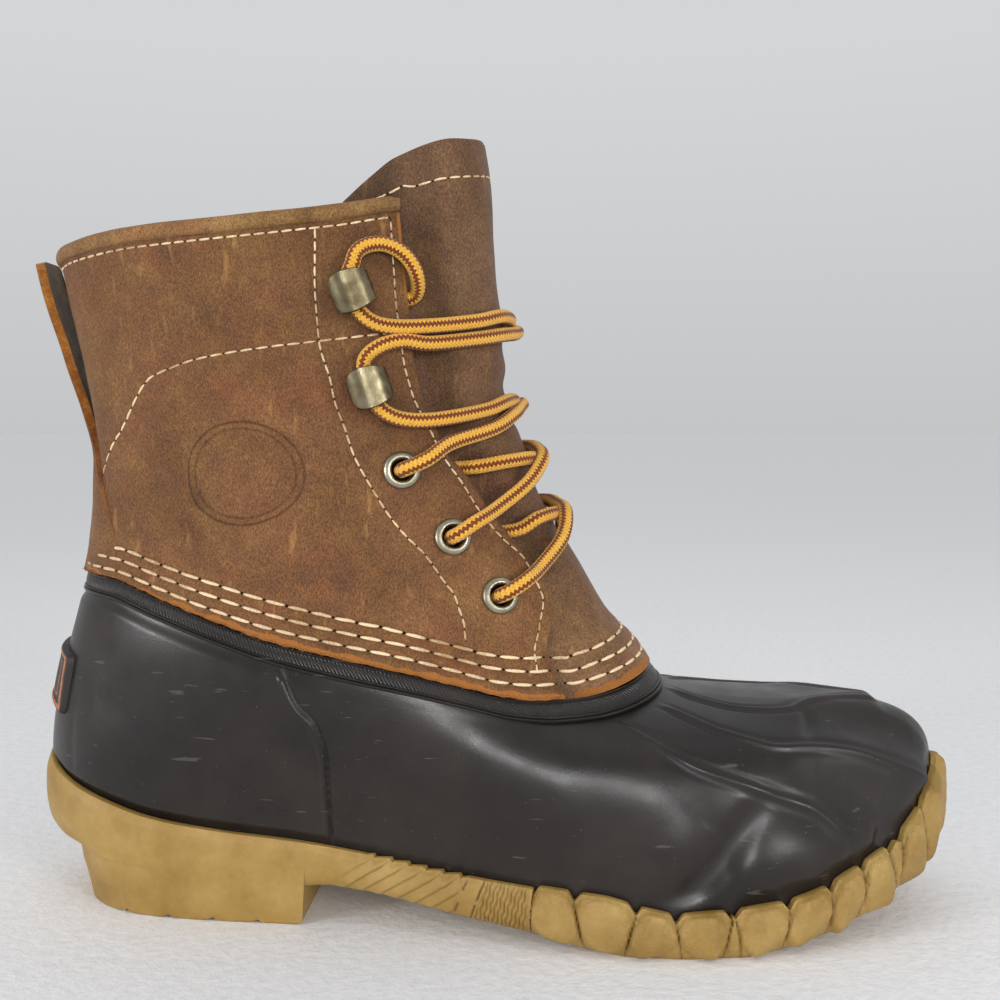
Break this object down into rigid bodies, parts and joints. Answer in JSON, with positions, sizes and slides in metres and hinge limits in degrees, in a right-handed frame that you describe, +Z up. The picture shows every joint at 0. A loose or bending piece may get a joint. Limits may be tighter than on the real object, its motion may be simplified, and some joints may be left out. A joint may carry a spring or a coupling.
{
  "type": "duck boot",
  "caption": "Ankle-high lace-up duck boot with a hollow leather shaft on a moulded rubber shell, a tongue, and a gum outsole with a heel block.",
  "frame": {"origin": "centre of the heel block's flat underside, on the floor", "axes": "+X from heel to toe, +Z up, +Y to the wearer's left, the outer side of this left boot"},
  "size_m": [0.2965, 0.1097, 0.2462],
  "materials": {
    "strap_leather": "suede back",
    "binding_leather": "waxed",
    "antique_metal": "antique",
    "plate_rubber": "satin",
    "insole_cloth": "matte",
    "lace_cord": "braided",
    "gum_rubber": "matte",
    "dark_rubber": "satin",
    "brown_leather": "waxed pull-up"
  },
  "bodies": {
    "root": {"back_strap": "strap_leather", "collar_binding": "binding_leather", "eyelet_lateral_1": "antique_metal", "eyelet_lateral_2": "antique_metal", "eyelet_lateral_3": "antique_metal", "eyelet_medial_1": "antique_metal", "eyelet_medial_2": "antique_metal", "eyelet_medial_3": "antique_metal", "heel_plate": "plate_rubber", "hook_lateral_1": "antique_metal", "hook_lateral_2": "antique_metal", "hook_medial_1": "antique_metal", "hook_medial_2": "antique_metal", "insole": "insole_cloth", "lace_cross_1": "lace_cord", "lace_cross_2": "lace_cord", "lace_cross_3": "lace_cord", "lace_cross_4": "lace_cord", "lace_end_lateral": "lace_cord", "lace_end_medial": "lace_cord", "outsole": "gum_rubber", "rubber_shell": "dark_rubber", "shaft": "brown_leather", "tongue": "brown_leather"}
  },
  "joints": []
}
